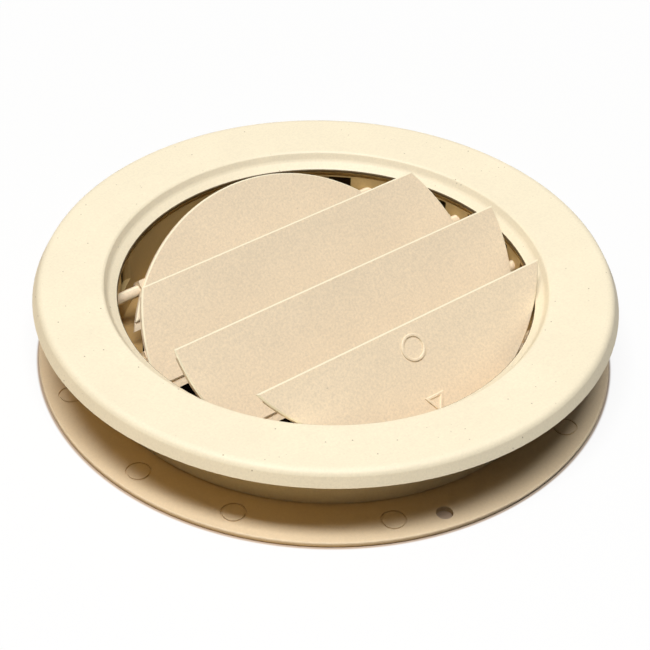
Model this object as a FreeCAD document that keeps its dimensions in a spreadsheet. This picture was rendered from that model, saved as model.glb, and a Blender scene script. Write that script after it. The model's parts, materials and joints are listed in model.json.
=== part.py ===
"""Round air register: a mounting base, a trim ring that turns on it, and four linked louvres.

The frame has its origin at the centre of the base's mounting face, with +Z out into the room.
The louvre pins lie along X, and the louvres raise their edges on the +Y side.
"""

import FreeCAD, Part
import os
import re

import Sketcher

# Driving sizes in millimetres, and angles in degrees about Z from +X
SIZES = {
    # Mounting base
    "flange_inset": 0.3,
    "flange_thickness": 1.6,
    "flange_edge_round": 0.5,
    "flange_foot_round": 0.6,
    "duct_step": 6.9,
    "collar_thickness": 1.7,
    "collar_height": 9.8,
    "bead_level": 6.0,
    "bead_height": 1.2,
    "bead_depth": 1.1,
    "screw_offset": 5.35,
    "screw_hole_radius": 2.35,
    "screw_angle": -103.9,
    "mark_inset": 1.65,
    "mark_radius": 3.55,
    "mark_groove": 0.5,
    "mark_depth": 0.5,
    "mark_first_angle": -66.5,
    "mark_second_angle": -114.1,
    "mark_third_angle": -146.1,
    "mark_fourth_angle": -168.8,
    "mark_fifth_angle": -197.1,
    # Trim ring
    "ring_radius": 84.7,
    "ring_top": 26.0,
    "crown_drop": 0.6,
    "rim_depth": 4.2,
    "rim_slope": 2.1,
    "shoulder_round": 2.5,
    "shell_thickness": 2.4,
    "opening_radius": 60.45,
    "bevel_width": 1.35,
    "bevel_drop": 2.4,
    "ledge_width": 2.65,
    "ledge_drop": 2.06,
    "crease_round": 0.9,
    "valley_round": 2.5,
    "edge_depth": 0.7,
    "edge_round": 0.3,
    "undercut_depth": 0.6,
    "undercut_height": 1.5,
    "wall_setback": 0.45,
    "wall_thickness": 1.7,
    "skirt_thickness": 1.9,
    "lip_height": 1.2,
    # Bearings and relief windows in the inner wall
    "bearing_depth": 1.6,
    "bearing_wall": 1.2,
    "window_offset": 4.3,
    "window_width": 6.0,
    "window_top": 18.3,
    "window_height": 8.0,
    # Louvres
    "blade_clearance": 3.2,
    "end_blade_clearance": 3.9,
    "rear_blade_shift": 1.8,
    "blade_pitch": 28.0,
    "blade_reach": 19.3,
    "blade_rise": 3.6,
    "blade_thickness": 1.6,
    "blade_edge_break": 0.4,
    "rear_pivot": 38.5,
    "pivot_height": 13.7,
    "open_tilt": 46.5,
    "lap_length": 2.4,
    "cheek_thickness": 2.2,
    "cheek_radius": 2.6,
    "pin_radius": 1.7,
    # Link between the louvres
    "lever_back": 5.0,
    "lever_drop": 7.0,
    "lever_thickness": 2.0,
    "lever_root": 5.0,
    "eye_radius": 2.4,
    "link_pin_radius": 1.3,
    "link_pin_end": 0.7,
    "link_thickness": 2.2,
    "link_height": 3.0,
    # Fits
    "turn_clearance": 0.5,
    "seat_clearance": 0.3,
    "lap_gap": 0.4,
    "lap_clearance": 0.3,
    "pin_clearance": 0.08,
    "pin_end_clearance": 0.3,
    "link_clearance": 0.1,
    "link_side_gap": 0.3,
}

# Radii and heights that pieces share, each from the sizes above
FLANGE_RADIUS = "(ring_radius - flange_inset)"
WALL_RADIUS = "(opening_radius + wall_setback)"
DUCT_RADIUS = f"({WALL_RADIUS} - duct_step)"
BEARING_LIMIT = f"{WALL_RADIUS} + wall_thickness + bearing_depth"
COLLAR_BORE = f"{BEARING_LIMIT} + turn_clearance"
COLLAR_OUTSIDE = f"{COLLAR_BORE} + collar_thickness"
BEAD_RADIUS = f"{COLLAR_OUTSIDE} + bead_depth"
SKIRT_BORE = f"{BEAD_RADIUS} + turn_clearance"
SKIRT_OUTSIDE = f"{SKIRT_BORE} + skirt_thickness"
RING_FOOT = "flange_thickness + seat_clearance"

# The screws stand at a set distance inside the flange's edge, and the moulding marks a little further in
SCREW_CIRCLE = f"({FLANGE_RADIUS} - screw_offset)"
MARK_CIRCLE = f"({SCREW_CIRCLE} - mark_inset)"

LOUVRES = ["louvre_rear", "louvre_upper", "louvre_lower", "louvre_front"]
SCREW_COUNT = 3
TOLERANCE = 1e-4
MARKS = ["first", "second", "third", "fourth", "fifth"]

doc = FreeCAD.newDocument("air_register")
sheet = doc.addObject("Spreadsheet::Sheet", "Dims")
for row, (alias, value) in enumerate(SIZES.items(), start=1):
    sheet.set(f"A{row}", alias)
    sheet.set(f"B{row}", str(value))
    sheet.setAlias(f"B{row}", alias)
doc.recompute()


def cells(formula):
    """Turn the size names in a formula into references to the sheet."""
    return re.sub(r"[a-z_]+", lambda word: f"Dims.{word[0]}" if word[0] in SIZES else word[0], formula)


def bind(item, **formulas):
    """Bind properties to formulas; a double underscore in the name stands for a dot."""
    for name, formula in formulas.items():
        item.setExpression(name.replace("__", "."), cells(formula))


def new_body(name):
    return doc.addObject("PartDesign::Body", name)


def new_sketch(body, name, plane, lift="0"):
    """Attach an empty sketch to one of the body's origin planes, lifted along its normal."""
    sketch = body.newObject("Sketcher::SketchObject", f"{body.Name}_{name}")
    support = next(item for item in body.Origin.OriginFeatures if item.Role == plane)
    sketch.AttachmentSupport = [(support, "")]
    sketch.MapMode = "FlatFace"
    bind(sketch, AttachmentOffset__Base__z=lift)
    return sketch


def place_point(sketch, geometry, position, point):
    """Hold one point of a sketch at a pair of formulas measured from the sketch's origin."""
    for kind, formula in zip(("DistanceX", "DistanceY"), point):
        index = sketch.addConstraint(Sketcher.Constraint(kind, -1, 1, geometry, position, 1.0))
        sketch.setExpression(f"Constraints[{index}]", cells(formula))


def draw_outline(sketch, points):
    """Draw a closed outline of straight lines through pairs of formulas."""
    first = sketch.GeometryCount
    count = len(points)
    for step in range(count):
        start = FreeCAD.Vector(step, step * step, 0)
        end = FreeCAD.Vector(step + 1, (step + 1) ** 2, 0)
        sketch.addGeometry(Part.LineSegment(start, end))
    for step in range(count):
        following = first + (step + 1) % count
        sketch.addConstraint(Sketcher.Constraint("Coincident", first + step, 2, following, 1))
        place_point(sketch, first + step, 1, points[step])


def draw_circle(sketch, centre, radius):
    circle = sketch.addGeometry(Part.Circle(FreeCAD.Vector(), FreeCAD.Vector(0, 0, 1), 1.0))
    place_point(sketch, circle, 3, centre)
    index = sketch.addConstraint(Sketcher.Constraint("Radius", circle, 1.0))
    sketch.setExpression(f"Constraints[{index}]", cells(radius))


def pad(body, sketch, length, midplane=False, reverse=False):
    feature = body.newObject("PartDesign::Pad", f"{sketch.Name}_pad")
    feature.Profile = sketch
    feature.SideType = "Symmetric" if midplane else "One side"
    feature.Reversed = reverse
    bind(feature, Length=length)
    return feature


def pocket(body, sketch, length, midplane=False, reverse=False):
    feature = body.newObject("PartDesign::Pocket", f"{sketch.Name}_pocket")
    feature.Profile = sketch
    feature.SideType = "Symmetric" if midplane else "One side"
    feature.Reversed = reverse
    bind(feature, Length=length)
    return feature


def revolve(body, outline):
    """Turn an outline of (radius, height) formulas about Z."""
    sketch = new_sketch(body, "section", "XZ_Plane")
    draw_outline(sketch, outline)
    feature = body.newObject("PartDesign::Revolution", f"{body.Name}_turned")
    feature.Profile = sketch
    feature.ReferenceAxis = (sketch, ["V_Axis"])
    feature.Angle = 360
    return feature


def same(first, second):
    """Tell whether two lengths agree to well under a micrometre."""
    return abs(first - second) < TOLERANCE


def dress_edges(body, kind, name, chosen, **size):
    """Fillet or chamfer those edges of the body so far for which the test holds."""
    doc.recompute()
    base = body.Tip
    edges = [f"Edge{index}" for index, edge in enumerate(base.Shape.Edges, start=1) if chosen(edge)]
    feature = body.newObject(kind, f"{body.Name}_{name}")
    feature.Base = (base, edges)
    bind(feature, **size)


def round_rim(body, name, rim_radius, height, radius):
    """Fillet the circular edge of the given radius and height."""
    def on_rim(edge):
        curve = edge.Curve
        is_circle = isinstance(curve, Part.Circle)
        return is_circle and same(curve.Radius, rim_radius) and same(curve.Center.z, height)

    dress_edges(body, "PartDesign::Fillet", name, on_rim, Radius=radius)


def break_face_edges(body, name, height, size):
    """Chamfer every edge that lies flat at the given height in the body's own frame."""
    def in_face(edge):
        return same(edge.BoundBox.ZMin, height) and same(edge.BoundBox.ZMax, height)

    dress_edges(body, "PartDesign::Chamfer", name, in_face, Size=size)


def rod_along_x(name, radius, across, height):
    """Make a round rod along X, as long as the bearings are wide, at the given Y and Z."""
    rod = doc.addObject("Part::Cylinder", name)
    rod.Placement.Rotation = FreeCAD.Rotation(FreeCAD.Vector(0, 1, 0), 90)
    bind(rod, Radius=radius, Height=f"2 * ({BEARING_LIMIT})")
    bind(rod, Placement__Base__x=f"-({BEARING_LIMIT})", Placement__Base__y=across, Placement__Base__z=height)
    return rod


def upright_cylinder(name, radius):
    """Make a cylinder about Z from the mounting face to the top of the ring."""
    cylinder = doc.addObject("Part::Cylinder", name)
    bind(cylinder, Radius=radius, Height="ring_top")
    return cylinder


def joined(name, shapes):
    fuse = doc.addObject("Part::MultiFuse", name)
    fuse.Shapes = shapes
    return fuse


def paired(kind, name, base, tool):
    """Combine two shapes by Part::Cut or Part::Common."""
    result = doc.addObject(kind, name)
    result.Base = base
    result.Tool = tool
    return result


def pivot(index):
    """Distance of a louvre's pin from the centre along Y, rear louvre first."""
    return f"(rear_pivot - {index} * blade_pitch)"


def make_mounting_base():
    """Flat screw flange round the duct opening, with an upright collar and its snap bead."""
    body = new_body("mounting_base")
    revolve(body, [
        (DUCT_RADIUS, "0"),
        (FLANGE_RADIUS, "0"),
        (FLANGE_RADIUS, "flange_thickness"),
        (COLLAR_OUTSIDE, "flange_thickness"),
        (COLLAR_OUTSIDE, "bead_level"),
        (BEAD_RADIUS, "bead_level"),
        (BEAD_RADIUS, "bead_level + bead_height"),
        (COLLAR_OUTSIDE, "bead_level + bead_height + bead_depth"),
        (COLLAR_OUTSIDE, "collar_height"),
        (COLLAR_BORE, "collar_height"),
        (COLLAR_BORE, "flange_thickness"),
        (DUCT_RADIUS, "flange_thickness"),
    ])
    flange_radius = sheet.ring_radius - sheet.flange_inset
    round_rim(body, "edge", flange_radius, sheet.flange_thickness, "flange_edge_round")
    round_rim(body, "foot", flange_radius, 0, "flange_foot_round")

    hole = new_sketch(body, "screw_hole", "XY_Plane")
    hole_centre = [f"{SCREW_CIRCLE} * {turn}(screw_angle * 1 deg)" for turn in ("cos", "sin")]
    draw_circle(hole, hole_centre, "screw_hole_radius")
    cut = pocket(body, hole, "flange_thickness", reverse=True)
    holes = body.newObject("PartDesign::PolarPattern", "screw_holes")
    holes.Originals = [cut]
    holes.Axis = (hole, ["N_Axis"])
    holes.Angle = 360
    holes.Occurrences = SCREW_COUNT
    body.Tip = holes

    marks = new_sketch(body, "marks", "XY_Plane", lift="flange_thickness")
    for mark in MARKS:
        turn = f"(mark_{mark}_angle * 1 deg)"
        centre = (f"{MARK_CIRCLE} * cos{turn}", f"{MARK_CIRCLE} * sin{turn}")
        draw_circle(marks, centre, "mark_radius")
        draw_circle(marks, centre, "mark_radius - mark_groove")
    pocket(body, marks, "mark_depth")
    return body


def make_trim_ring():
    """Cover ring with a sloping rim, stepped bevel, snap skirt, and inner wall with the louvre bearings."""
    body = new_body("ring_moulding")
    wall_outside = f"{WALL_RADIUS} + wall_thickness"
    under_top = "ring_top - shell_thickness"
    lip_top = "bead_level - seat_clearance"
    lip_bore = f"{COLLAR_OUTSIDE} + turn_clearance"
    valley_radius = "opening_radius + ledge_width"
    crease_radius = f"{valley_radius} + bevel_width"
    crease_top = "ring_top - crown_drop"
    valley_top = f"{crease_top} - bevel_drop"
    edge_top = f"{valley_top} - ledge_drop"
    edge_foot = f"{edge_top} - edge_depth"
    undercut_radius = f"{WALL_RADIUS} + undercut_depth"
    wall_top = f"{edge_foot} - undercut_height"
    revolve(body, [
        (WALL_RADIUS, RING_FOOT),
        (wall_outside, RING_FOOT),
        (wall_outside, edge_foot),
        (f"{crease_radius} + edge_depth", under_top),
        (SKIRT_BORE, under_top),
        (SKIRT_BORE, lip_top),
        (lip_bore, lip_top),
        (lip_bore, f"{lip_top} - lip_height"),
        (SKIRT_BORE, f"{lip_top} - 2 * lip_height"),
        (SKIRT_BORE, RING_FOOT),
        (SKIRT_OUTSIDE, RING_FOOT),
        (SKIRT_OUTSIDE, under_top),
        ("ring_radius - shell_thickness", under_top),
        ("ring_radius - shell_thickness", "ring_top - rim_depth"),
        ("ring_radius", "ring_top - rim_depth"),
        ("ring_radius - rim_slope", "ring_top"),
        (crease_radius, crease_top),
        (valley_radius, valley_top),
        ("opening_radius", edge_top),
        ("opening_radius", edge_foot),
        (undercut_radius, edge_foot),
        (undercut_radius, wall_top),
        (WALL_RADIUS, wall_top),
    ])
    valley = sheet.opening_radius + sheet.ledge_width
    crease_height = sheet.ring_top - sheet.crown_drop
    valley_height = crease_height - sheet.bevel_drop
    edge_height = valley_height - sheet.ledge_drop
    round_rim(body, "shoulder", sheet.ring_radius - sheet.rim_slope, sheet.ring_top, "shoulder_round")
    round_rim(body, "crease", valley + sheet.bevel_width, crease_height, "crease_round")
    round_rim(body, "valley", valley, valley_height, "valley_round")
    round_rim(body, "ledge_edge", sheet.opening_radius, edge_height, "edge_round")

    bosses = []
    cutters = []
    for index, louvre in enumerate(LOUVRES):
        across = pivot(index)
        boss_radius = "pin_radius + pin_clearance + bearing_wall"
        bosses.append(rod_along_x(f"{louvre}_boss", boss_radius, across, "pivot_height"))
        cutters.append(rod_along_x(f"{louvre}_bore", "pin_radius + pin_clearance", across, "pivot_height"))
        for side, near in (("rear", "window_offset"), ("front", "-(window_offset + window_width)")):
            window = doc.addObject("Part::Box", f"{louvre}_{side}_window")
            bind(window, Length=f"2 * ({BEARING_LIMIT})", Width="window_width", Height="window_height")
            bind(window, Placement__Base__x=f"-({BEARING_LIMIT})", Placement__Base__y=f"{across} + {near}")
            bind(window, Placement__Base__z="window_top - window_height")
            cutters.append(window)

    limit = upright_cylinder("bearing_limit", BEARING_LIMIT)
    opening = upright_cylinder("opening", WALL_RADIUS)
    rods_in_ring = paired("Part::Common", "bosses_in_ring", joined("boss_rods", bosses), limit)
    boss_ring = paired("Part::Cut", "bearing_bosses", rods_in_ring, opening)
    cuts = paired("Part::Common", "wall_cuts", joined("wall_cutters", cutters), limit)
    return paired("Part::Cut", "trim_ring", joined("ring_with_bosses", [body, boss_ring]), cuts)


def is_rear(index):
    return index == 0


def is_front(index):
    return index == len(LOUVRES) - 1


def blade_radius(index):
    """Radius of a louvre's outline; the end louvres are smaller, as the front one lifts past the ledge."""
    clearance = "end_blade_clearance" if is_rear(index) or is_front(index) else "blade_clearance"
    return f"({WALL_RADIUS} - {clearance})"


def louvre_section(index):
    """Cross-section of a louvre, as (Y, Z) from its pin, with lapped edges where it has a neighbour."""
    bottom = "blade_rise - blade_thickness"
    lip = "(blade_thickness - lap_clearance) / 2"
    seam = "blade_reach - blade_pitch"
    rear_edge = [
        ("blade_reach - lap_length", bottom),
        ("blade_reach - lap_length", f"blade_rise - {lip}"),
        ("blade_reach", f"blade_rise - {lip}"),
        ("blade_reach", "blade_rise"),
    ]
    front_edge = [
        (f"{seam} + lap_gap", "blade_rise"),
        (f"{seam} + lap_gap", f"{bottom} + {lip}"),
        (f"{seam} - lap_length + lap_gap", f"{bottom} + {lip}"),
        (f"{seam} - lap_length + lap_gap", bottom),
    ]
    if is_rear(index):
        rear_edge = [(blade_radius(index), bottom), (blade_radius(index), "blade_rise")]
    if is_front(index):
        front_edge = [(f"-{blade_radius(index)}", "blade_rise"), (f"-{blade_radius(index)}", bottom)]
    return rear_edge + front_edge


def make_louvre(index):
    """Flat louvre with arc ends, two pivot pins on end cheeks, and a lever with the link pin."""
    body = new_body(LOUVRES[index])
    across = pivot(index)
    radius = blade_radius(index)
    shift = "rear_blade_shift" if is_rear(index) else "0"
    # The blank is longer than the louvre, and the trim takes all that lies outside the round outline
    blank_length = f"2 * {radius} + blade_reach"
    trim_depth = "2 * blade_rise + blade_thickness"
    low = f"-2 * {radius}"
    high = f"2 * {radius}"
    section = new_sketch(body, "section", "YZ_Plane")
    draw_outline(section, louvre_section(index))
    pad(body, section, blank_length, midplane=True)
    trim = new_sketch(body, "round_trim", "XY_Plane")
    draw_outline(trim, [(low, low), (high, low), (high, high), (low, high)])
    draw_circle(trim, (shift, f"-{across}"), radius)
    pocket(body, trim, trim_depth, midplane=True)
    break_face_edges(body, "top_edge", sheet.blade_rise, "blade_edge_break")

    # The cheek stands where the louvre's nearer arc crosses the pin, and the pin ends inside its bearing
    cheek_face = f"(sqrt({radius} ^ 2 - {across} ^ 2) - {shift})"
    far_side = f"(abs({across}) + pin_radius)"
    pin_tip = f"sqrt(({BEARING_LIMIT} - pin_end_clearance) ^ 2 - {far_side} ^ 2)"
    inside_plate = "blade_rise - blade_thickness / 2"
    web = new_sketch(body, "cheek_web", "YZ_Plane", lift=cheek_face)
    draw_outline(web, [
        ("-cheek_radius", "0"),
        ("cheek_radius", "0"),
        ("cheek_radius", inside_plate),
        ("-cheek_radius", inside_plate),
    ])
    eye = new_sketch(body, "cheek_eye", "YZ_Plane", lift=cheek_face)
    draw_circle(eye, ("0", "0"), "cheek_radius")
    pin = new_sketch(body, "pin", "YZ_Plane", lift=cheek_face)
    draw_circle(pin, ("0", "0"), "pin_radius")
    ends = [
        pad(body, web, "cheek_thickness", reverse=True),
        pad(body, eye, "cheek_thickness", reverse=True),
        pad(body, pin, f"{pin_tip} - {cheek_face}"),
    ]
    mirrored = body.newObject("PartDesign::Mirrored", f"{body.Name}_far_end")
    mirrored.Originals = ends
    far_plane = next(item for item in body.Origin.OriginFeatures if item.Role == "YZ_Plane")
    mirrored.MirrorPlane = (far_plane, [""])
    body.Tip = mirrored

    lever = new_sketch(body, "lever", "YZ_Plane")
    draw_outline(lever, [
        ("-lever_back - eye_radius", "-lever_drop"),
        ("-lever_back + eye_radius", "-lever_drop"),
        ("-lever_back + eye_radius + lever_root", inside_plate),
        ("-lever_back - eye_radius", inside_plate),
    ])
    lever_eye = new_sketch(body, "lever_eye", "YZ_Plane")
    draw_circle(lever_eye, ("-lever_back", "-lever_drop"), "eye_radius")
    link_pin = new_sketch(body, "link_pin", "YZ_Plane")
    draw_circle(link_pin, ("-lever_back", "-lever_drop"), "link_pin_radius")
    pad(body, lever, "lever_thickness", midplane=True)
    pad(body, lever_eye, "lever_thickness", midplane=True)
    pad(body, link_pin, "lever_thickness / 2 + link_side_gap + link_thickness + link_pin_end")

    body.Placement.Rotation = FreeCAD.Rotation(FreeCAD.Vector(1, 0, 0), sheet.open_tilt)
    bind(body, Placement__Base__y=across, Placement__Base__z="pivot_height")
    bind(body, Placement__Rotation__Angle="open_tilt * 1 deg")
    return body


def make_link_bar():
    """Flat bar beside the levers, with an eye on each link pin."""
    body = new_body("link_bar")
    span = f"{len(LOUVRES) - 1} * blade_pitch"
    strip = new_sketch(body, "strip", "YZ_Plane")
    draw_outline(strip, [
        (f"-{span}", "-link_height / 2"),
        ("0", "-link_height / 2"),
        ("0", "link_height / 2"),
        (f"-{span}", "link_height / 2"),
    ])
    pad(body, strip, "link_thickness")
    eyes = new_sketch(body, "eyes", "YZ_Plane")
    holes = new_sketch(body, "holes", "YZ_Plane")
    for index in range(len(LOUVRES)):
        centre = (f"-{index} * blade_pitch", "0")
        draw_circle(eyes, centre, "eye_radius")
        draw_circle(holes, centre, "link_pin_radius + link_clearance")
    pad(body, eyes, "link_thickness")
    pocket(body, holes, "link_thickness", reverse=True)

    # The bar hangs on the link pins where the open levers carry them
    tilt = "(open_tilt * 1 deg)"
    bind(body, Placement__Base__x="lever_thickness / 2 + link_side_gap")
    bind(body, Placement__Base__y=f"rear_pivot - lever_back * cos{tilt} + lever_drop * sin{tilt}")
    bind(body, Placement__Base__z=f"pivot_height - lever_back * sin{tilt} - lever_drop * cos{tilt}")
    return body


def check(parts):
    """Stop before anything is written if a feature failed or a shape is unsound."""
    for item in doc.Objects:
        if "Invalid" in item.State or "Error" in item.State:
            raise RuntimeError(f"{item.Name} failed: {item.State}")
    for part in parts:
        if part.Shape.isNull() or not part.Shape.isValid():
            raise RuntimeError(f"{part.Label} has no sound shape")
        if len(part.Shape.Solids) != 1:
            raise RuntimeError(f"{part.Label} has {len(part.Shape.Solids)} solids")


parts = [make_mounting_base(), make_trim_ring()]
parts += [make_louvre(index) for index in range(len(LOUVRES))]
parts.append(make_link_bar())
doc.recompute()
check(parts)
os.makedirs("parts", exist_ok=True)
for part in parts:
    part.Shape.exportStep(f"parts/{part.Label}.step")
    print(f"{part.Label}: {part.Shape.Volume:.1f} mm3")
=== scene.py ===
"""Round air register in cream moulded ABS: the finish of each piece, the raised push marks and the stage.

Lengths are in metres, in the frame of the solids: the origin is at the centre of the mounting face,
+Z points into the room, +X lies along the louvre pins and +Y towards the louvres' raised edges.
"""

import json
import math

import bpy
from mathutils import Matrix, Vector


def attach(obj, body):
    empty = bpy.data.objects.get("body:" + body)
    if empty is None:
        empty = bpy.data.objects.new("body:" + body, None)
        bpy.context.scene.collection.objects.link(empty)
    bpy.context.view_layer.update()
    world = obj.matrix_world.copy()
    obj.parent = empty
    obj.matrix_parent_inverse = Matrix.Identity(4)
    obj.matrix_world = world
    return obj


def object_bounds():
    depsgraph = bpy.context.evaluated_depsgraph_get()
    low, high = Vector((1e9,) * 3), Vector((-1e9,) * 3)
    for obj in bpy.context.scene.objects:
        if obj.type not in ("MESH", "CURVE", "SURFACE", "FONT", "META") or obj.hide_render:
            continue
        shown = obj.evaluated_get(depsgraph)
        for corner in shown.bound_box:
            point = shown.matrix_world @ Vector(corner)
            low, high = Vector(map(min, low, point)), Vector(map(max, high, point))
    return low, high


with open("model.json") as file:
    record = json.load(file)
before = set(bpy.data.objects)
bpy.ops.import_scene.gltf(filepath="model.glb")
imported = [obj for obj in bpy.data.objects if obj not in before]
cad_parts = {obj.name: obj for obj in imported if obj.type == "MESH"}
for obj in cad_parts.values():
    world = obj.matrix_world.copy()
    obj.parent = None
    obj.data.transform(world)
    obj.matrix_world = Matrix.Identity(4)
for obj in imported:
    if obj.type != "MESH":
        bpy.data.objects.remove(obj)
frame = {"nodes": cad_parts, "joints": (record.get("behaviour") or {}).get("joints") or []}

bl_info = {
    "name": "Round Air Register",
    "version": (1, 0, 0),
    "blender": (4, 5, 0),
    "location": "3D View > Sidebar > Register",
    "description": "Finishes a round air register with linked louvres and sets it on a pale stage",
    "category": "Object",
}

CAD_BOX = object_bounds()
MM = 0.001
WHITE = "#FFFFFF"

# The middle part of a noise texture's values, which the tints are spread over
NOISE_LOW = 0.3
NOISE_HIGH = 0.7
# Brightness of the pigment in a dark and in a light cloud, and the share that the grain takes away and adds
CLOUD_DARK = 0.97
CLOUD_LIGHT = 1.02
GRAIN_DARK = 0.12
GRAIN_LIGHT = 0.09
# Spread of the roughness over the grain, and the refractive index of ABS
SHEEN_SPREAD = 0.08
ABS_IOR = 1.54
# A cell carries a speck from the first of these levels, and a full one from the second
SPECK_START = 0.6
SPECK_FULL = 0.7
SPECK_STRENGTH = 0.75
# The broken edges lean half a right angle away from the louvre's face
EDGE_LEAN = math.radians(45)
EDGE_SPREAD = 0.12

CIRCLE_SIDES = 64
TRIANGLE_SIDES = 3
RIB_BEVEL_STEPS = 4
SMOOTH_ANGLE = math.radians(50)
SAME_LEVEL = 0.01 * MM

FLOOR_GAP = 0.05 * MM
# Distances, in radii of the register, between which the floor takes on the room's even white
WHITE_NEAR = 2
WHITE_FAR = 5

LOUVRES = ["louvre_rear", "louvre_upper", "louvre_lower", "louvre_front"]
MARKED_LOUVRE = "louvre_front"
MARKED_BODY = "front_louvre"
FRONT_HINGE = next(joint for joint in frame["joints"] if joint["child"] == MARKED_BODY)


def linear(hex_colour):
    """Turn an sRGB hex value into linear red, green and blue."""
    channels = [int(hex_colour[start:start + 2], 16) / 255 for start in (1, 3, 5)]
    return tuple(c / 12.92 if c <= 0.04045 else ((c + 0.055) / 1.055) ** 2.4 for c in channels)


def length(name, description, millimetres):
    """Declare a length that the sidebar shows."""
    return bpy.props.FloatProperty(
        name=name, description=description, default=millimetres * MM, unit="LENGTH", precision=5)


def angle(name, description, degrees):
    """Declare an angle that the sidebar shows."""
    return bpy.props.FloatProperty(
        name=name, description=description, default=math.radians(degrees), unit="ROTATION")


def share(name, description, default):
    """Declare a plain number."""
    return bpy.props.FloatProperty(name=name, description=description, default=default, precision=3)


def colour(name, description, hex_colour):
    """Declare a colour, written as sRGB hex and held as linear."""
    return bpy.props.FloatVectorProperty(
        name=name, description=description, default=linear(hex_colour), size=3, subtype="COLOR", min=0, max=1)


class PlasticSettings(bpy.types.PropertyGroup):
    """Colours and grain of the moulded plastic."""

    ring_colour: colour("Ring", "Cream of the trim ring's finely eroded face", "#FEF2D5")
    louvre_colour: colour("Louvres", "Cream of the louvres and their link bar", "#F6E3C5")
    base_colour: colour("Base", "Cream of the mounting base", "#EBD6B4")
    edge_highlight_colour: colour("Painted edge highlight", "Pale cream painted as a highlight on the louvres' broken edges", "#FFF4D6")
    soil_colour: colour("Soil", "Grey brown of dust specks and handling marks", "#8F7A55")
    grain: length("Grain", "Spacing of the eroded grain, drawn coarse enough to show", 0.7)
    grain_depth: length("Grain depth", "Depth of the eroded grain", 0.03)
    speck_spacing: length("Speck spacing", "Usual distance between dust specks", 1.9)
    speck_size: length("Speck size", "Radius of a dust speck", 0.3)
    cloud_size: length("Cloud size", "Width of the faint clouds in the colour", 24)
    throat_shade_tint: colour("Painted throat shade", "Tint of the painted shade on the faces inside the throat", "#D9C69C")
    darker_shade_tint: colour("Darker painted shade", "Tint of the darker painted shade behind the throat's wall and under the opening's edge", "#5A4A2C")
    wall_radius: length("Wall radius", "Radius of the throat's wall, behind which the painted shade darkens", 62)
    throat_radius: length("Throat radius", "How far from the axis the painted shade reaches", 69)
    throat_foot: length("Throat foot", "Height at which the painted shade starts", 0.2)
    throat_head: length("Throat head", "Height at which the painted shade ends, under the opening's edge", 21.15)
    undercut_level: length("Undercut level", "Height above which the painted shade darkens, in the undercut below the opening's edge", 20.3)


class MarkSettings(bpy.types.PropertyGroup):
    """Sizes of the raised push marks on the front louvre."""

    circle_radius: length("Circle radius", "Outer radius of the raised circle", 4.0)
    circle_rise: length("Circle place", "Circle's centre above the pin, up the louvre", 12.25)
    triangle_side: length("Triangle side", "Side of the raised triangle", 6.8)
    triangle_rise: length("Triangle place", "Triangle's top side above the pin, up the louvre", -1.95)
    side_shift: length("Side shift", "Shift of both marks along the pins", -0.55)
    rib_width: length("Rib width", "Width of the raised line", 0.95)
    rib_height: length("Rib height", "Height of the raised line", 0.45)
    rib_sink: length("Rib root", "Depth of the raised line's root in the louvre", 0.05)


class StageSettings(bpy.types.PropertyGroup):
    """Camera, light and floor."""

    azimuth: angle("Azimuth", "Turn of the camera round the register, from -Y towards +X", -39.1)
    elevation: angle("Elevation", "Height of the camera above the horizon", 39.01)
    roll: angle("Roll", "Lean of the camera about its own axis", 1.96)
    distance: length("Distance", "Camera to the point it looks at", 533.1)
    aim_height: length("Aim height", "Height of the point the camera looks at", 6.76)
    lens: bpy.props.FloatProperty(
        name="Lens", description="Focal length over a 36 mm wide sensor, in millimetres", default=99.7)
    floor_size: length("Floor", "Width of the pale floor", 6000)
    floor_colour: colour("Floor colour", "Warm tone of the light that the floor throws back", "#9A7F48")
    lamp_distance: length("Lamp distance", "Distance from the register to the soft lamp", 2000)
    lamp_width: length("Lamp width", "Width of the soft lamp, across the camera's view", 1200)
    lamp_depth: length("Lamp depth", "Depth of the soft lamp", 400)
    lamp_level: share("Lamp level", "Share of white the soft lamp adds to a face towards it", 0.96)
    lamp_turn: angle("Lamp turn", "Turn of the soft lamp from the camera", -12)
    lamp_elevation: angle("Lamp elevation", "Height of the soft lamp above the horizon", 75)
    sky_level: share("Ceiling level", "Brightness of the room's pale ceiling", 0.27)
    wall_level: share("Wall level", "Brightness of the room's walls at floor level", 0.01)
    wall_colour: colour("Room light", "Warm white of the room", "#FFF3DC")
    wall_foot: angle("Wall foot", "Height at which the walls start to brighten", 35)
    wall_head: angle("Wall head", "Height at which the ceiling's brightness is reached", 75)
    shade_reach: length("Shade reach", "How far the shade under the flange reaches past its edge", 0.6)
    fill_left: share("Left fill", "Share of the floor's and the room's light on the left and in front", 1.5)
    fill_right: share("Right fill", "Share of the floor's and the room's light on the right", 0.0)
    fill_reach: length("Fill reach", "Distance to the right over which the floor's light falls off", 60)
    fill_start: share("Fill start", "Lean to the right at which the room's light starts to fall off", -0.2)
    shade_colour: colour("Shade colour", "Floor's colour where it shows under the flange", "#C9B6A4")
    paper_colour: colour("Paper colour", "Floor's colour beside the register", "#FAFAFA")
    paper_white: share("Paper white", "Share of plain white in the floor beside the register", 0.88)
    shade_disc_radius: length("Shade disc", "Radius of the dark disc of painted shade on the floor under the register", 62)
    shade_disc_colour: colour("Shade disc colour", "Dark painted shade on the floor under the register", "#1A1610")


def add(tree, kind, links=None, **settings):
    """Add a node, set its properties, and give each named or numbered socket a value or a link."""
    node = tree.nodes.new(kind)
    for name, value in settings.items():
        setattr(node, name, value)
    for socket, value in (links or {}).items():
        if isinstance(value, bpy.types.NodeSocket):
            tree.links.new(value, node.inputs[socket])
        else:
            node.inputs[socket].default_value = value
    return node


def new_material(name):
    """Make an empty node material and return it with its tree."""
    material = bpy.data.materials.new(name)
    material.use_nodes = True
    material.node_tree.nodes.clear()
    return material, material.node_tree


def opaque(rgb):
    """Add full opacity to a colour."""
    return (*rgb, 1.0)


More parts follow.
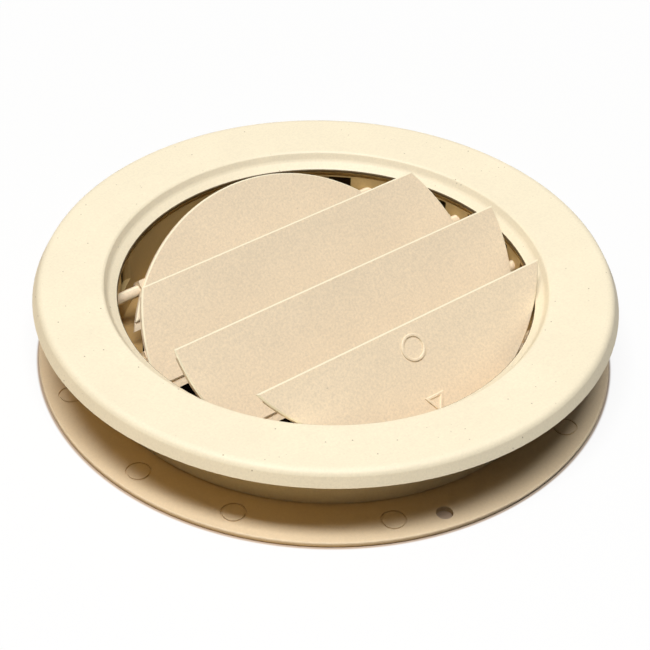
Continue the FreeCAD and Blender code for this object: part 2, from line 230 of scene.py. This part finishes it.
def painted_edge_highlight(tree, plastic, normal, face, pigment):
    """Pigment with a painted highlight in pale cream on the broken edges round a face, given by its outward
    direction.
    """
    lean = add(tree, "ShaderNodeVectorMath", {0: normal, 1: face}, operation="DOT_PRODUCT")
    broken = add(tree, "ShaderNodeMath", {
        0: lean.outputs["Value"], 1: math.cos(EDGE_LEAN), 2: EDGE_SPREAD}, operation="COMPARE")
    # Painted highlight: the broken edges are mixed towards pale cream
    highlit = add(tree, "ShaderNodeMix", {
        "Factor": broken.outputs["Value"], "A": pigment, "B": opaque(plastic.edge_highlight_colour)},
        data_type="RGBA")
    return highlit.outputs["Result"]


def painted_throat_shade(tree, plastic, place, pigment):
    """Pigment darkened by painted shade on the faces inside the throat."""
    from_axis = add(tree, "ShaderNodeVectorMath", {0: place, 1: (1, 1, 0)}, operation="MULTIPLY")
    radius = add(tree, "ShaderNodeVectorMath", {0: from_axis.outputs["Vector"]}, operation="LENGTH")
    height = add(tree, "ShaderNodeSeparateXYZ", {"Vector": place})
    within = add(tree, "ShaderNodeMath", {
        0: radius.outputs["Value"], 1: plastic.throat_radius}, operation="LESS_THAN")
    middle = (plastic.throat_foot + plastic.throat_head) / 2
    level = add(tree, "ShaderNodeMath", {
        0: height.outputs["Z"], 1: middle, 2: plastic.throat_head - middle}, operation="COMPARE")
    inside = add(tree, "ShaderNodeMath", {
        0: within.outputs["Value"], 1: level.outputs["Value"]}, operation="MULTIPLY")
    # The painted shade is darker in the hollow behind the wall and in the undercut below the opening's edge
    behind = add(tree, "ShaderNodeMapRange", {
        "Value": radius.outputs["Value"],
        "From Min": plastic.wall_radius, "From Max": plastic.wall_radius + MM})
    undercut = add(tree, "ShaderNodeMath", {
        0: height.outputs["Z"], 1: plastic.undercut_level}, operation="GREATER_THAN")
    still = add(tree, "ShaderNodeMath", {
        0: behind.outputs["Result"], 1: undercut.outputs["Value"]}, operation="MAXIMUM")
    # Painted shade: a lighter tint over the throat, a darker one behind the wall and under the opening's edge
    dust = add(tree, "ShaderNodeMix", {
        "Factor": still.outputs["Value"],
        "A": opaque(plastic.throat_shade_tint), "B": opaque(plastic.darker_shade_tint)}, data_type="RGBA")
    throat_shaded = add(tree, "ShaderNodeMix", {
        "Factor": inside.outputs["Value"], "A": pigment, "B": dust.outputs["Result"]},
        data_type="RGBA", blend_type="MULTIPLY")
    return throat_shaded.outputs["Result"]


def dust_specks(tree, plastic, place, clouds, soiling, pigment):
    """Pigment with soft-edged specks in a few cells, more of them where the clouds are dense."""
    cells = add(tree, "ShaderNodeTexVoronoi", {"Vector": place, "Scale": 1 / plastic.speck_spacing})
    size = plastic.speck_size / plastic.speck_spacing
    dots = add(tree, "ShaderNodeMapRange", {
        "Value": cells.outputs["Distance"], "From Min": size, "From Max": size / 3,
        "To Min": 0.0, "To Max": 1.0})
    pick = add(tree, "ShaderNodeSeparateColor", {"Color": cells.outputs["Color"]})
    grouped = add(tree, "ShaderNodeMath", {0: pick.outputs["Red"], 1: clouds}, operation="MULTIPLY")
    chosen = add(tree, "ShaderNodeMapRange", {
        "Value": grouped.outputs["Value"], "From Min": SPECK_START - soiling,
        "From Max": SPECK_FULL - soiling, "To Min": 0.0, "To Max": SPECK_STRENGTH})
    speck = add(tree, "ShaderNodeMath", {
        0: dots.outputs["Result"], 1: chosen.outputs["Result"]}, operation="MULTIPLY")
    soiled = add(tree, "ShaderNodeMix", {
        "Factor": speck.outputs["Value"], "A": pigment, "B": opaque(plastic.soil_colour)},
        data_type="RGBA")
    return soiled.outputs["Result"]


def moulded_abs(name, base, roughness, soiling, grain_share, face=None, throat=False):
    """Injection-moulded ABS from an eroded tool.

    The eroded tool leaves a fine dull grain, which breaks up the light into a faint speckle and spreads
    reflections into a broad sheen. The pigment is even, with only faint clouds, and dust caught in the
    grain shows as small dark specks that lie in loose groups. Where a piece has a face, given by its
    outward direction, the broken edges round that face carry a painted highlight in pale cream. Where
    throat is set, the faces inside the throat are darkened by painted shade, darker still behind the
    throat's wall and under the opening's edge.
    """
    plastic = bpy.context.scene.air_register.plastic
    material, tree = new_material(name)
    surface = add(tree, "ShaderNodeTexCoord").outputs
    place = surface["Object"]
    clouds = add(tree, "ShaderNodeTexNoise", {
        "Vector": place, "Scale": 1 / plastic.cloud_size, "Detail": 3.0, "Roughness": 0.6}).outputs["Fac"]
    # The real grain is finer than a pixel, so it is drawn coarser, to show as the speckle that it gives
    grain = add(tree, "ShaderNodeTexNoise", {
        "Vector": place, "Scale": 1 / plastic.grain, "Detail": 4.0, "Roughness": 0.7}).outputs["Fac"]
    cloud_tint = add(tree, "ShaderNodeMapRange", {
        "Value": clouds, "From Min": NOISE_LOW, "From Max": NOISE_HIGH,
        "To Min": CLOUD_DARK, "To Max": CLOUD_LIGHT})
    grain_tint = add(tree, "ShaderNodeMapRange", {
        "Value": grain, "From Min": NOISE_LOW, "From Max": NOISE_HIGH,
        "To Min": 1 - GRAIN_DARK * grain_share, "To Max": 1 + GRAIN_LIGHT * grain_share})
    tint = add(tree, "ShaderNodeMath", {
        0: cloud_tint.outputs["Result"], 1: grain_tint.outputs["Result"]}, operation="MULTIPLY")
    clouded = add(tree, "ShaderNodeVectorMath", {0: base, "Scale": tint.outputs["Value"]}, operation="SCALE")
    pigment = clouded.outputs["Vector"]
    # Painted highlight in pale cream on the broken edges round the louvre's face
    if face is not None:
        pigment = painted_edge_highlight(tree, plastic, surface["Normal"], face, pigment)
    # Painted shade darkens the faces inside the throat
    if throat:
        pigment = painted_throat_shade(tree, plastic, place, pigment)
    pigment = dust_specks(tree, plastic, place, clouds, soiling, pigment)
    dullness = add(tree, "ShaderNodeMapRange", {
        "Value": grain, "To Min": roughness - SHEEN_SPREAD, "To Max": roughness + SHEEN_SPREAD})
    relief = add(tree, "ShaderNodeBump", {
        "Height": grain, "Strength": grain_share, "Distance": plastic.grain_depth})
    shader = add(tree, "ShaderNodeBsdfPrincipled", {
        "Base Color": pigment, "Roughness": dullness.outputs["Result"],
        "IOR": ABS_IOR, "Normal": relief.outputs["Normal"]})
    add(tree, "ShaderNodeOutputMaterial", {"Surface": shader.outputs["BSDF"]})
    return material


def finish_node(name, material):
    """Give a solid its material."""
    for slot in frame["nodes"][name].material_slots:
        slot.material = material


def louvre_face():
    """Matrix of the front louvre's face: origin over the pin, X along it, Y up the louvre, Z out of it."""
    tilt = -math.radians(FRONT_HINGE["range_deg"][0])
    turned = Matrix.Translation(Vector(FRONT_HINGE["pos_m"])) @ Matrix.Rotation(tilt, 4, "X")
    to_louvre = turned.inverted()
    face = max((to_louvre @ vertex.co).z for vertex in frame["nodes"][MARKED_LOUVRE].data.vertices)
    return turned @ Matrix.Translation((0, 0, face))


class AIRREGISTER_OT_finish_ring(bpy.types.Operator):
    """Finish the trim ring in light, finely eroded ABS"""

    bl_idname = "air_register.finish_ring"
    bl_label = "Trim ring"

    def execute(self, context):
        plastic = context.scene.air_register.plastic
        # Painted shade darkens the ring's faces inside the throat
        material = moulded_abs(
            "moulded_abs_ring", plastic.ring_colour,
            roughness=0.55, soiling=0.22, grain_share=0.5, throat=True)
        finish_node("trim_ring", material)
        return {"FINISHED"}


class AIRREGISTER_OT_finish_base(bpy.types.Operator):
    """Finish the mounting base in plain moulded ABS"""

    bl_idname = "air_register.finish_base"
    bl_label = "Mounting base"

    def execute(self, context):
        plastic = context.scene.air_register.plastic
        # Painted shade darkens the base's faces inside the throat
        material = moulded_abs(
            "moulded_abs_base", plastic.base_colour,
            roughness=0.5, soiling=0.0, grain_share=0.4, throat=True)
        finish_node("mounting_base", material)
        return {"FINISHED"}


class AIRREGISTER_OT_finish_louvres(bpy.types.Operator):
    """Finish the louvres and their link bar in grained ABS"""

    bl_idname = "air_register.finish_louvres"
    bl_label = "Louvres and link bar"

    def execute(self, context):
        plastic = context.scene.air_register.plastic
        face = louvre_face().to_3x3() @ Vector((0, 0, 1))
        material = moulded_abs(
            "moulded_abs_louvre", plastic.louvre_colour,
            roughness=0.58, soiling=0.05, grain_share=1.0, face=face)
        for name in [*LOUVRES, "link_bar"]:
            finish_node(name, material)
        return {"FINISHED"}


def start_outline(name, sides, radius, turn):
    """Add a flat outline about the origin, in edit mode and all selected."""
    bpy.ops.object.select_all(action="DESELECT")
    bpy.ops.mesh.primitive_circle_add(vertices=sides, radius=radius, rotation=(0, 0, turn))
    outline = bpy.context.active_object
    outline.name = name
    bpy.ops.object.transform_apply(location=True, rotation=True, scale=True)
    bpy.ops.object.mode_set(mode="EDIT")
    bpy.ops.mesh.select_all(action="SELECT")
    return outline


def select_top_edges(outline, height):
    """Select the edges that lie at the given height."""
    bpy.ops.mesh.select_all(action="DESELECT")
    bpy.ops.object.mode_set(mode="OBJECT")
    mesh = outline.data
    for edge in mesh.edges:
        edge.select = all(abs(mesh.vertices[index].co.z - height) < SAME_LEVEL for index in edge.vertices)
    bpy.ops.object.mode_set(mode="EDIT")


def raise_rib(name, sides, radius, turn, inner_share, place):
    """Model an outline as a raised rib with rounded shoulders and set it on the louvre's face."""
    marks = bpy.context.scene.air_register.marks
    rib = start_outline(name, sides, radius, turn)
    bpy.ops.mesh.extrude_edges_move()
    bpy.ops.transform.resize(value=(inner_share, inner_share, 1), center_override=(0, 0, 0))
    bpy.ops.mesh.select_all(action="SELECT")
    rib_rise = marks.rib_height + marks.rib_sink
    bpy.ops.mesh.extrude_region_move(TRANSFORM_OT_translate={"value": (0, 0, rib_rise)})
    bpy.ops.mesh.select_mode(type="EDGE")
    select_top_edges(rib, rib_rise)
    bpy.ops.mesh.region_to_loop()
    bpy.ops.mesh.bevel(offset=marks.rib_width / 3, segments=RIB_BEVEL_STEPS, affect="EDGES")
    bpy.ops.mesh.select_all(action="SELECT")
    bpy.ops.mesh.normals_make_consistent(inside=False)
    bpy.ops.object.mode_set(mode="OBJECT")
    rib.matrix_world = louvre_face() @ Matrix.Translation((*place, -marks.rib_sink))
    bpy.ops.object.transform_apply(location=True, rotation=True, scale=True)
    bpy.ops.object.shade_smooth_by_angle(angle=SMOOTH_ANGLE)
    rib.data.materials.append(bpy.data.materials["moulded_abs_louvre"])
    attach(rib, MARKED_BODY)
    return rib


class AIRREGISTER_OT_push_marks(bpy.types.Operator):
    """Model the raised circle and triangle that show where to push the front louvre"""

    bl_idname = "air_register.push_marks"
    bl_label = "Push marks"

    def execute(self, context):
        marks = context.scene.air_register.marks
        circle_share = 1 - marks.rib_width / marks.circle_radius
        circle_centre = (marks.side_shift, marks.circle_rise)
        raise_rib("push_mark_circle", CIRCLE_SIDES, marks.circle_radius, 0, circle_share, circle_centre)
        corner_radius = marks.triangle_side / math.sqrt(3)
        side_distance = corner_radius / 2
        triangle_share = 1 - marks.rib_width / side_distance
        triangle_centre = (marks.side_shift, marks.triangle_rise - side_distance)
        raise_rib(
            "push_mark_triangle", TRIANGLE_SIDES, corner_radius, math.pi, triangle_share, triangle_centre)
        return {"FINISHED"}


def towards(azimuth, elevation):
    """Unit vector from the register, by the camera's angles."""
    level = math.cos(elevation)
    return Vector((math.sin(azimuth) * level, -math.cos(azimuth) * level, math.sin(elevation)))


def seen_directly(tree):
    """Socket that is 1 for what the camera sees, also in a reflection or through a clear piece."""
    path = add(tree, "ShaderNodeLightPath").outputs
    shown = add(tree, "ShaderNodeMath", {
        0: path["Is Camera Ray"], 1: path["Is Glossy Ray"]}, operation="MAXIMUM")
    shown = add(tree, "ShaderNodeMath", {
        0: shown.outputs["Value"], 1: path["Is Transmission Ray"]}, operation="MAXIMUM")
    # A path that a matt face has spread carries light to the register, so it takes none of the white
    straight = add(tree, "ShaderNodeMath", {0: path["Diffuse Depth"], 1: 1}, operation="LESS_THAN")
    shown = add(tree, "ShaderNodeMath", {
        0: shown.outputs["Value"], 1: straight.outputs["Value"]}, operation="MULTIPLY")
    return shown.outputs["Value"]


def camera_right(azimuth):
    """Level unit vector to the right of the camera's view."""
    return Vector((math.cos(azimuth), math.sin(azimuth), 0))


def pale_floor(stage):
    """Matt pale table top that looks white, takes the register's shadow and has a dark disc of painted shade
    under the register.
    """
    bpy.ops.object.select_all(action="DESELECT")
    bpy.ops.mesh.primitive_plane_add(size=stage.floor_size, location=(0, 0, CAD_BOX[0].z - FLOOR_GAP))
    floor = bpy.context.active_object
    floor.name = "floor"
    bpy.ops.object.transform_apply(location=True, rotation=True, scale=True)
    material, tree = new_material("matt_pale_table")
    place = add(tree, "ShaderNodeTexCoord").outputs["Object"]
    side = add(tree, "ShaderNodeVectorMath", {
        0: place, 1: camera_right(stage.azimuth)}, operation="DOT_PRODUCT")
    fill = add(tree, "ShaderNodeMapRange", {
        "Value": side.outputs["Value"], "From Min": 0.0, "From Max": stage.fill_reach,
        "To Min": stage.fill_left, "To Max": stage.fill_right})
    seen = seen_directly(tree)
    thrown = add(tree, "ShaderNodeVectorMath", {
        0: stage.floor_colour, "Scale": fill.outputs["Result"]}, operation="SCALE")
    under = add(tree, "ShaderNodeMix", {
        "Factor": seen, "A": thrown.outputs["Vector"], "B": opaque(stage.shade_colour)}, data_type="RGBA")
    reach = add(tree, "ShaderNodeVectorMath", {0: place}, operation="LENGTH").outputs["Value"]
    # A dark disc of painted shade on the floor under the register, for all rays
    in_shade_disc = add(tree, "ShaderNodeMath", {0: reach, 1: stage.shade_disc_radius}, operation="LESS_THAN")
    tone = add(tree, "ShaderNodeMix", {
        "Factor": in_shade_disc.outputs["Value"], "A": under.outputs["Result"], "B": opaque(stage.shade_disc_colour)},
        data_type="RGBA")
    edge = CAD_BOX[1].x
    clear = add(tree, "ShaderNodeMapRange", {
        "Value": reach, "From Min": edge, "From Max": edge + stage.shade_reach})
    shown = add(tree, "ShaderNodeMath", {0: clear.outputs["Result"], 1: seen}, operation="MULTIPLY")
    paper_tone = add(tree, "ShaderNodeMix", {
        "Factor": shown.outputs["Value"], "A": tone.outputs["Result"], "B": opaque(stage.paper_colour)},
        data_type="RGBA")
    paper = add(tree, "ShaderNodeBsdfDiffuse", {"Color": paper_tone.outputs["Result"]})
    white = add(tree, "ShaderNodeEmission", {"Color": opaque(linear(WHITE)), "Strength": 1.0})
    # Further out the paper takes on the even white of the room behind it, so no horizon shows
    even = add(tree, "ShaderNodeMapRange", {
        "Value": reach, "From Min": WHITE_NEAR * edge, "From Max": WHITE_FAR * edge,
        "To Min": stage.paper_white, "To Max": 1.0})
    lift = add(tree, "ShaderNodeMath", {
        0: shown.outputs["Value"], 1: even.outputs["Result"]}, operation="MULTIPLY")
    mixed = add(tree, "ShaderNodeMixShader", {
        "Fac": lift.outputs["Value"], 1: paper.outputs["BSDF"], 2: white.outputs["Emission"]})
    add(tree, "ShaderNodeOutputMaterial", {"Surface": mixed.outputs["Shader"]})
    floor.data.materials.append(material)


def soft_lamp(stage):
    """Wide lamp that adds the given share of white to a face towards it."""
    direction = towards(stage.azimuth + stage.lamp_turn, stage.lamp_elevation)
    data = bpy.data.lights.new("soft_lamp", "AREA")
    data.shape = "RECTANGLE"
    data.size = stage.lamp_width
    data.size_y = stage.lamp_depth
    data.energy = stage.lamp_level * math.pi ** 2 * stage.lamp_distance ** 2
    lamp = bpy.data.objects.new("soft_lamp", data)
    lamp.location = direction * stage.lamp_distance
    lamp.rotation_euler = direction.to_track_quat("Z", "Y").to_euler()
    bpy.context.scene.collection.objects.link(lamp)


def room_light(stage):
    """Light of a room with a pale ceiling and walls that darken to the right, white behind the floor."""
    world = bpy.data.worlds.new("room")
    bpy.context.scene.world = world
    world.use_nodes = True
    tree = world.node_tree
    tree.nodes.clear()
    direction = add(tree, "ShaderNodeTexCoord").outputs["Generated"]
    height = add(tree, "ShaderNodeSeparateXYZ", {"Vector": direction}).outputs["Z"]
    level = add(tree, "ShaderNodeMapRange", {
        "Value": height, "From Min": math.sin(stage.wall_foot), "From Max": math.sin(stage.wall_head),
        "To Min": stage.wall_level, "To Max": stage.sky_level})
    side = add(tree, "ShaderNodeVectorMath", {
        0: direction, 1: camera_right(stage.azimuth)}, operation="DOT_PRODUCT")
    fill = add(tree, "ShaderNodeMapRange", {
        "Value": side.outputs["Value"], "From Min": stage.fill_start, "From Max": 1.0,
        "To Min": stage.fill_left, "To Max": stage.fill_right})
    strength = add(tree, "ShaderNodeMath", {
        0: level.outputs["Result"], 1: fill.outputs["Result"]}, operation="MULTIPLY")
    lit = add(tree, "ShaderNodeBackground", {
        "Color": opaque(stage.wall_colour), "Strength": strength.outputs["Value"]})
    shown = add(tree, "ShaderNodeBackground", {"Color": opaque(linear(WHITE)), "Strength": 1.0})
    mixed = add(tree, "ShaderNodeMixShader", {
        "Fac": seen_directly(tree), 1: lit.outputs["Background"], 2: shown.outputs["Background"]})
    add(tree, "ShaderNodeOutputWorld", {"Surface": mixed.outputs["Shader"]})


def place_camera(stage):
    """Stand the camera where it sees the register as the photograph does."""
    back = towards(stage.azimuth, stage.elevation)
    right = camera_right(stage.azimuth)
    up = back.cross(right)
    leaning_right = right * math.cos(stage.roll) + up * math.sin(stage.roll)
    leaning_up = back.cross(leaning_right)
    data = bpy.data.cameras.new("camera")
    data.lens = stage.lens
    camera = bpy.data.objects.new("camera", data)
    position = Vector((0, 0, stage.aim_height)) + back * stage.distance
    turned = Matrix((leaning_right, leaning_up, back)).transposed().to_4x4()
    camera.matrix_world = Matrix.Translation(position) @ turned
    bpy.context.scene.collection.objects.link(camera)
    bpy.context.scene.camera = camera


class AIRREGISTER_OT_stage(bpy.types.Operator):
    """Set the pale floor, the soft lamp, the room's light and the camera"""

    bl_idname = "air_register.stage"
    bl_label = "Stage"

    def execute(self, context):
        stage = context.scene.air_register.stage
        context.scene.view_settings.view_transform = "Standard"
        pale_floor(stage)
        room_light(stage)
        soft_lamp(stage)
        place_camera(stage)
        return {"FINISHED"}


class RegisterSettings(bpy.types.PropertyGroup):
    """All settings of the register."""

    plastic: bpy.props.PointerProperty(type=PlasticSettings)
    marks: bpy.props.PointerProperty(type=MarkSettings)
    stage: bpy.props.PointerProperty(type=StageSettings)


STEPS = [
    AIRREGISTER_OT_finish_ring,
    AIRREGISTER_OT_finish_base,
    AIRREGISTER_OT_finish_louvres,
    AIRREGISTER_OT_push_marks,
    AIRREGISTER_OT_stage,
]


class AIRREGISTER_PT_sidebar(bpy.types.Panel):
    """Steps and settings of the air register"""

    bl_idname = "AIRREGISTER_PT_sidebar"
    bl_label = "Round Air Register"
    bl_space_type = "VIEW_3D"
    bl_region_type = "UI"
    bl_category = "Register"

    def draw(self, context):
        """List the steps, then the settings of each group."""
        settings = context.scene.air_register
        for step in STEPS:
            self.layout.operator(step.bl_idname)
        for group in (settings.plastic, settings.marks, settings.stage):
            box = self.layout.box()
            for name in group.__annotations__:
                box.prop(group, name)


CLASSES = [PlasticSettings, MarkSettings, StageSettings, RegisterSettings, *STEPS, AIRREGISTER_PT_sidebar]


def register():
    """Make the settings, steps and sidebar known."""
    for cls in CLASSES:
        bpy.utils.register_class(cls)
    bpy.types.Scene.air_register = bpy.props.PointerProperty(type=RegisterSettings)


def unregister():
    """Take the settings, steps and sidebar away again."""
    del bpy.types.Scene.air_register
    for cls in reversed(CLASSES):
        bpy.utils.unregister_class(cls)


def main():
    """Run every step in order."""
    register()
    for step in STEPS:
        group, operator = step.bl_idname.split(".")
        getattr(getattr(bpy.ops, group), operator)()


if __name__ == "__main__":
    main()
